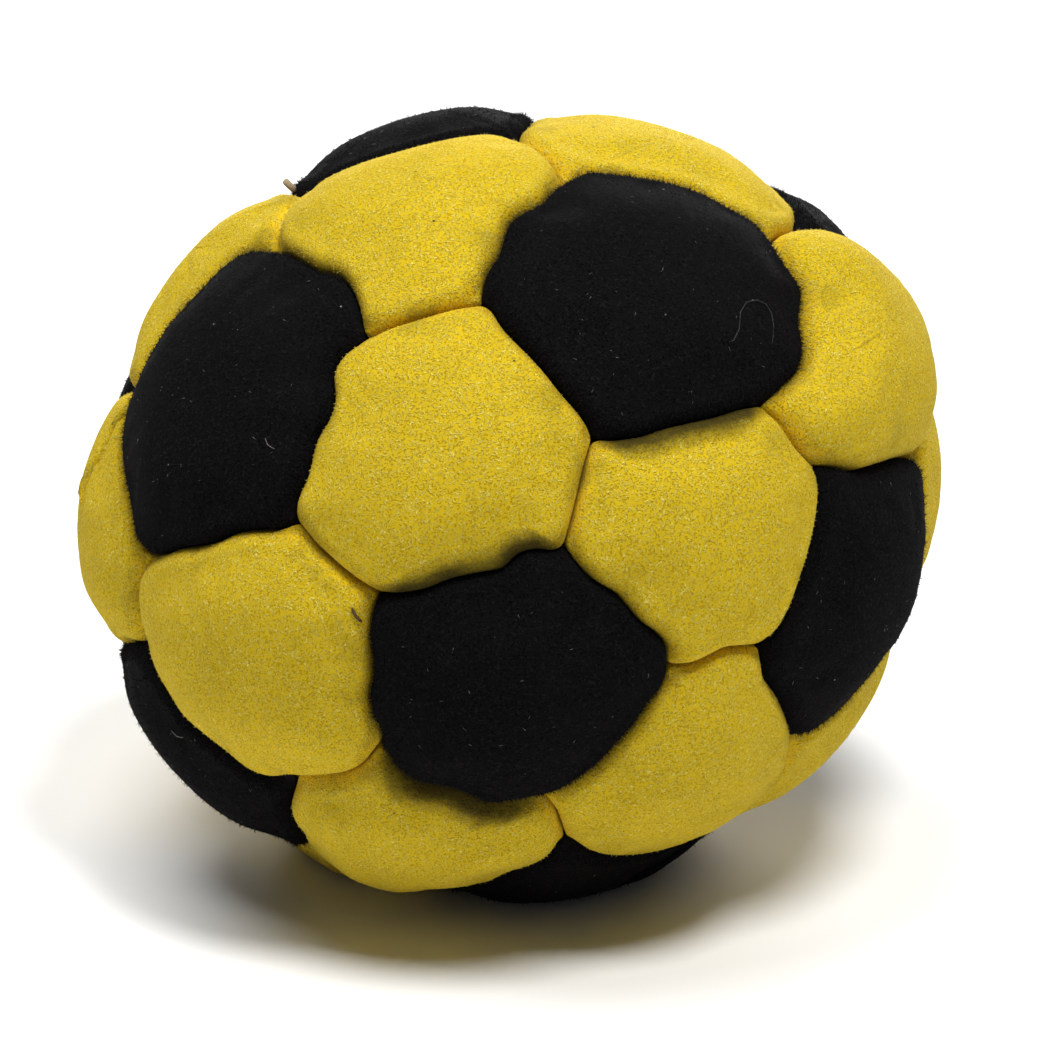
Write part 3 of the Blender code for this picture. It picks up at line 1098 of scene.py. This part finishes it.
blackFinish = {
    "nap": {"Fibres per Metre": 4800, "Swirls per Metre": 500, "Swirl": 0.0006},
    "dirtAndPaintedEdges": {"Patches per Metre": 200, "Seam Reach": 0.0026},
    "specks": {"Cells per Metre": 800, "Share": 0.12, "Size": 0.060},
    "base": (0.0040, 0.0037, 0.0039),
    "fibre": (0.0085, 0.0081, 0.0088),
    "gap": (0.0014, 0.0013, 0.0013),
    "dust": (0.0080, 0.0075, 0.0072),
    "patches": (0.45, 0.75),
    "dustShare": 0.25,
    "lint": (0.2400, 0.2300, 0.2200),
    "roughness": 0.98,
    "fibreGloss": 0.1,
    "bumpDepth": 0.00005,
    "even": {"Specular IOR Level": 0.03, "Sheen Weight": 0.001, "Sheen Roughness": 0.35},
}


def makeBlackSuede(nap, soil, specks):
    material, tree, shader = newMaterial("blackSuede")
    finish = blackFinish
    fibres = placeGroup(tree, nap, finish["nap"])
    dirtAndPaintedEdges = placeGroup(tree, soil, finish["dirtAndPaintedEdges"])
    lint = placeGroup(tree, specks, finish["specks"])
    patches = maskOf(tree, dirtAndPaintedEdges["Patch"], *finish["patches"])
    tone = layersOf(tree, finish["base"], [
        (fibres["Gap"], finish["gap"]),
        (fibres["Fibre"], finish["fibre"]),
        (timesOf(tree, patches, finish["dustShare"]), finish["dust"]),
        (lint["Speck"], finish["lint"]),
    ])
    finishShader(tree, shader, tone, fibres, finish)
    return material


sandFinish = {
    "grainsPerMetre": 2600,
    "pale": (0.560, 0.450, 0.300),
    "tan": (0.380, 0.260, 0.140),
    "dark": (0.090, 0.065, 0.045),
    "paleGrains": (0.2, 0.8),   # a pair is where a mask starts and where it is full
    "darkGrains": (0.90, 0.95),
    # Painted shade: the sand is darker in the crevices between the grains
    "between": (0.35, 0.60),
    "betweenShare": 0.6,
    "roughness": 0.45,
    "dullGrains": 0.4,          # how much rougher some grains are
    "bumpDepth": 0.00020,
}


def makeSand():
    material, tree, shader = newMaterial("dryGrains")
    finish = sandFinish
    inputs = {"Vector": placeOf(tree), "Scale": finish["grainsPerMetre"]}
    grains = addNode(tree, 'ShaderNodeTexVoronoi', inputs).outputs
    pick = addNode(tree, 'ShaderNodeSeparateColor', {0: grains["Color"]}).outputs
    # Painted shade between the grains
    between = maskOf(tree, grains["Distance"], *finish["between"])
    tone = layersOf(tree, finish["tan"], [
        (maskOf(tree, pick[0], *finish["paleGrains"]), finish["pale"]),
        (maskOf(tree, pick[1], *finish["darkGrains"]), finish["dark"]),
        (timesOf(tree, between, finish["betweenShare"]), finish["dark"]),
    ])
    rounded = mathOf(tree, 'SUBTRACT', 1.0, grains["Distance"])
    bump = addNode(tree, 'ShaderNodeBump', {"Height": rounded, "Distance": finish["bumpDepth"]})
    dull = timesOf(tree, pick[2], finish["dullGrains"])
    feed(tree, shader["Base Color"], tone)
    feed(tree, shader["Roughness"], mathOf(tree, 'ADD', finish["roughness"], dull))
    feed(tree, shader["Normal"], bump.outputs[0])
    return material


threadFinish = {
    "nap": {"Fibres per Metre": 14000, "Swirls per Metre": 900, "Swirl": 0.0009},
    "base": (0.450, 0.330, 0.190),
    "fibre": (0.580, 0.460, 0.300),
    "gap": (0.260, 0.180, 0.100),
    "roughness": 0.6,
    "fibreGloss": 0.25,
    "bumpDepth": 0.00004,
    "even": {},
}


def makeWaxedThread(nap):
    material, tree, shader = newMaterial("waxedThread")
    finish = threadFinish
    fibres = placeGroup(tree, nap, finish["nap"])
    layers = [(fibres["Gap"], finish["gap"]), (fibres["Fibre"], finish["fibre"])]
    finishShader(tree, shader, layersOf(tree, finish["base"], layers), fibres, finish)
    return material


# Loose fibres have no bump. Each kind has two tones.
looseFinish = {
    "nap": {"Fibres per Metre": 5200, "Swirls per Metre": 500, "Swirl": 0.0006},
    "roughness": 0.9,
    "fibreGloss": 0.2,
    "specular": 0.1,
}
looseTones = {
    "blackFuzz": ((0.0060, 0.0056, 0.0060), (0.0025, 0.0023, 0.0024)),
    "yellowFuzz": ((0.760, 0.620, 0.100), (0.600, 0.430, 0.015)),
    "paleLint": ((0.170, 0.165, 0.155), (0.070, 0.068, 0.064)),
    "greyHair": ((0.045, 0.044, 0.042), (0.020, 0.019, 0.018)),
    "brownStalk": ((0.090, 0.055, 0.020), (0.030, 0.018, 0.008)),
}


def makeLooseFibres(name, nap):
    material, tree, shader = newMaterial(name)
    fibres = placeGroup(tree, nap, looseFinish["nap"])
    pale, deep = looseTones[name]
    gloss = timesOf(tree, fibres["Fibre"], looseFinish["fibreGloss"])
    feed(tree, shader["Base Color"], blendOf(tree, fibres["Gap"], pale, deep))
    feed(tree, shader["Roughness"], mathOf(tree, 'SUBTRACT', looseFinish["roughness"], gloss))
    feed(tree, shader["Specular IOR Level"], looseFinish["specular"])
    return material


def addData(name, data, material):
    data.shade_smooth()
    data.materials.append(material)
    piece = putInScene(name, data)
    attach(piece, "root")
    return piece


def addPiece(name, mesh, material):
    return addData(name, dataOf(name, mesh), material)


def addLoose(pieces, nap, waxedThread):
    black, yellow = [[piece for piece in pieces if colour in piece.name] for colour in ("black", "yellow")]
    for name, owners, kind, slot in (("blackFuzz", black, "black", "black_suede"),
                                     ("yellowFuzz", yellow, "yellow", "yellow_suede"),
                                     ("paleLint", black, "lint", "black_suede")):
        fibres = addData(name, fibreMesh(name, owners, kind), makeLooseFibres(name, nap))
    graph = bpy.context.evaluated_depsgraph_get()
    trees = [BVHTree.FromObject(piece, graph) for piece in pieces]
    lint = bpy.data.materials["paleLint"]
    hair = makeLooseFibres("greyHair", nap)
    stalk = makeLooseFibres("brownStalk", nap)
    for name, material, slot in (("longHair", hair, "black_suede"), ("leftCurl", lint, "black_suede"),
                                 ("lowCurl", lint, "black_suede"), ("dryStalk", stalk, "yellow_suede"),
                                 ("threadEnd", waxedThread, "waxed_thread")):
        stray = addPiece(name, strayMesh(trees, **strays[name]), material)


def addPanels(panels, yellowSuede, blackSuede):
    kinds = {
        True: ("black_panel", blackSuede, "black_suede"),
        False: ("yellow_panel", yellowSuede, "yellow_suede"),
    }
    taken = set()
    pieces = []
    for black, mesh in panels:
        prefix, material, slot = kinds[black]
        middle = boxMiddle(meshBox(mesh))
        free = [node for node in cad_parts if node.startswith(prefix) and node not in taken]
        node = min(free, key=lambda name: (boxMiddle(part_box(name)) - middle).length)
        taken.add(node)
        piece = addPiece("suede_" + node, mesh, material)
        thickness = piece.modifiers.new("thickness", 'SOLIDIFY')
        thickness.thickness = panel["thickness"]
        thickness.offset = -1
        smooth = piece.modifiers.new("smooth", 'SUBSURF')
        smooth.levels = smooth.render_levels = 1
        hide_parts(node)
        pieces.append(piece)
    return pieces


print("suede")
nap = makeNapGroup()
# soil also makes the painted bounce light and the painted shade at the seams
soil = makeSoilAndPaintedEdgesGroup()
specks = makeSpeckGroup()
yellowSuede = makeYellowSuede(nap, soil, specks)
blackSuede = makeBlackSuede(nap, soil, specks)
print("seams")
ball, rows = sewnPattern()
print("filling and thread")
filling = addPiece("sandFilling", makeFilling(ball), makeSand())
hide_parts("filling")
waxedThread = makeWaxedThread(nap)
seamThread = addPiece("twistedThread", makeThread(rows), waxedThread)
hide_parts("seam_thread")
print("panels")
pieces = addPanels(makePanels(ball, rows), yellowSuede, blackSuede)
ball.free()
print("loose fibres")
addLoose(pieces, nap, waxedThread)

# Floor, lamps and camera. A lamp's level is the share of full daylight that it gives a level floor.
stage = {
    "floorWidth": 3.0,
    "floorColor": (0.93, 0.93, 0.93),
    "markColor": (0.8, 0.8, 0.8),
    "markShare": 0.02,
    "marksPerMetre": 60,
    "plainWhiteFrom": 0.10,     # metres from the bag at which the floor starts to turn plain white
    "plainWhiteBy": 0.30,
    "lampDistance": 0.6,
    "worldStrength": 0.085,
}
lamps = {
    "rightLamp": {"azimuth": 311, "elevation": 70, "width": 0.18, "level": 0.77},
    "leftLamp": {"azimuth": 163, "elevation": 75, "width": 0.37, "level": 0.72},
    "backLamp": {"azimuth": 85, "elevation": 12, "width": 0.31, "level": 0.19},
}


def addLamp(name, azimuth, elevation, width, level):
    data = bpy.data.lights.new(name, 'AREA')
    data.shape = 'DISK'
    data.size = width
    slope = math.sin(math.radians(elevation))
    data.energy = level / slope * (math.pi * stage["lampDistance"]) ** 2
    heading = Euler((0, -math.radians(elevation), math.radians(azimuth))).to_matrix() @ Vector((1, 0, 0))
    lamp = putInScene(name, data)
    lamp.location = heading * stage["lampDistance"]
    lamp.rotation_euler = (-heading).to_track_quat('-Z', 'Y').to_euler()


# Rays that see the white of the room: the camera's, and those that gloss and glass send out
def seenRay(tree):
    path = addNode(tree, 'ShaderNodeLightPath').outputs
    seen = mathOf(tree, 'MAXIMUM', path["Is Camera Ray"], path["Is Glossy Ray"])
    return mathOf(tree, 'MAXIMUM', seen, path["Is Transmission Ray"])


# A pale floor that keeps the bag's shadow and turns plain white away from it
def floorMaterial():
    material, tree, shader = newMaterial("paleFloor")
    place = placeOf(tree)
    away = vectorOf(tree, 'LENGTH', {0: place})["Value"]
    faint = timesOf(tree, noiseOf(tree, place, stage["marksPerMetre"], 2.0)["Fac"], stage["markShare"])
    feed(tree, shader["Base Color"], blendOf(tree, faint, stage["floorColor"], stage["markColor"]))
    feed(tree, shader["Roughness"], 1)
    feed(tree, shader["Specular IOR Level"], 0)
    white = addNode(tree, 'ShaderNodeEmission', {"Color": (1.0, 1.0, 1.0), "Strength": 1.0}).outputs[0]
    far = maskOf(tree, away, stage["plainWhiteFrom"], stage["plainWhiteBy"])
    mixed = addNode(tree, 'ShaderNodeMixShader', {
        0: timesOf(tree, far, seenRay(tree)),
        1: tree.nodes["Principled BSDF"].outputs[0],
        2: white,
    })
    feed(tree, tree.nodes["Material Output"].inputs["Surface"], mixed.outputs[0])
    return material


def makeWorld():
    world = bpy.data.worlds.new("whiteRoom")
    world.use_nodes = True
    tree = world.node_tree
    background = tree.nodes["Background"].inputs
    feed(tree, background["Color"], (1, 1, 1))
    feed(tree, background["Strength"], mathOf(tree, 'MAXIMUM', seenRay(tree), stage["worldStrength"]))
    bpy.context.scene.world = world


def makeStage():
    mesh = bmesh.new()
    bmesh.ops.create_grid(mesh, x_segments=1, y_segments=1, size=stage["floorWidth"] / 2)
    floor = putInScene("floor", dataOf("floor", mesh))
    floor.data.materials.append(floorMaterial())
    for name, lamp in lamps.items():
        addLamp(name, **lamp)
    makeWorld()


def makeCamera():
    data = bpy.data.cameras.new("camera")
    data.lens = view["lensMm"]
    data.sensor_width = view["sensorMm"]
    data.clip_start, data.clip_end = view["clips"]
    camera = putInScene("camera", data)
    camera.location = cameraPlace
    camera.rotation_euler = viewForward.to_track_quat('-Z', 'Y').to_euler()
    bpy.context.scene.camera = camera


print("stage and camera")
makeStage()
makeCamera()
bpy.context.scene.view_settings.view_transform = 'Standard'
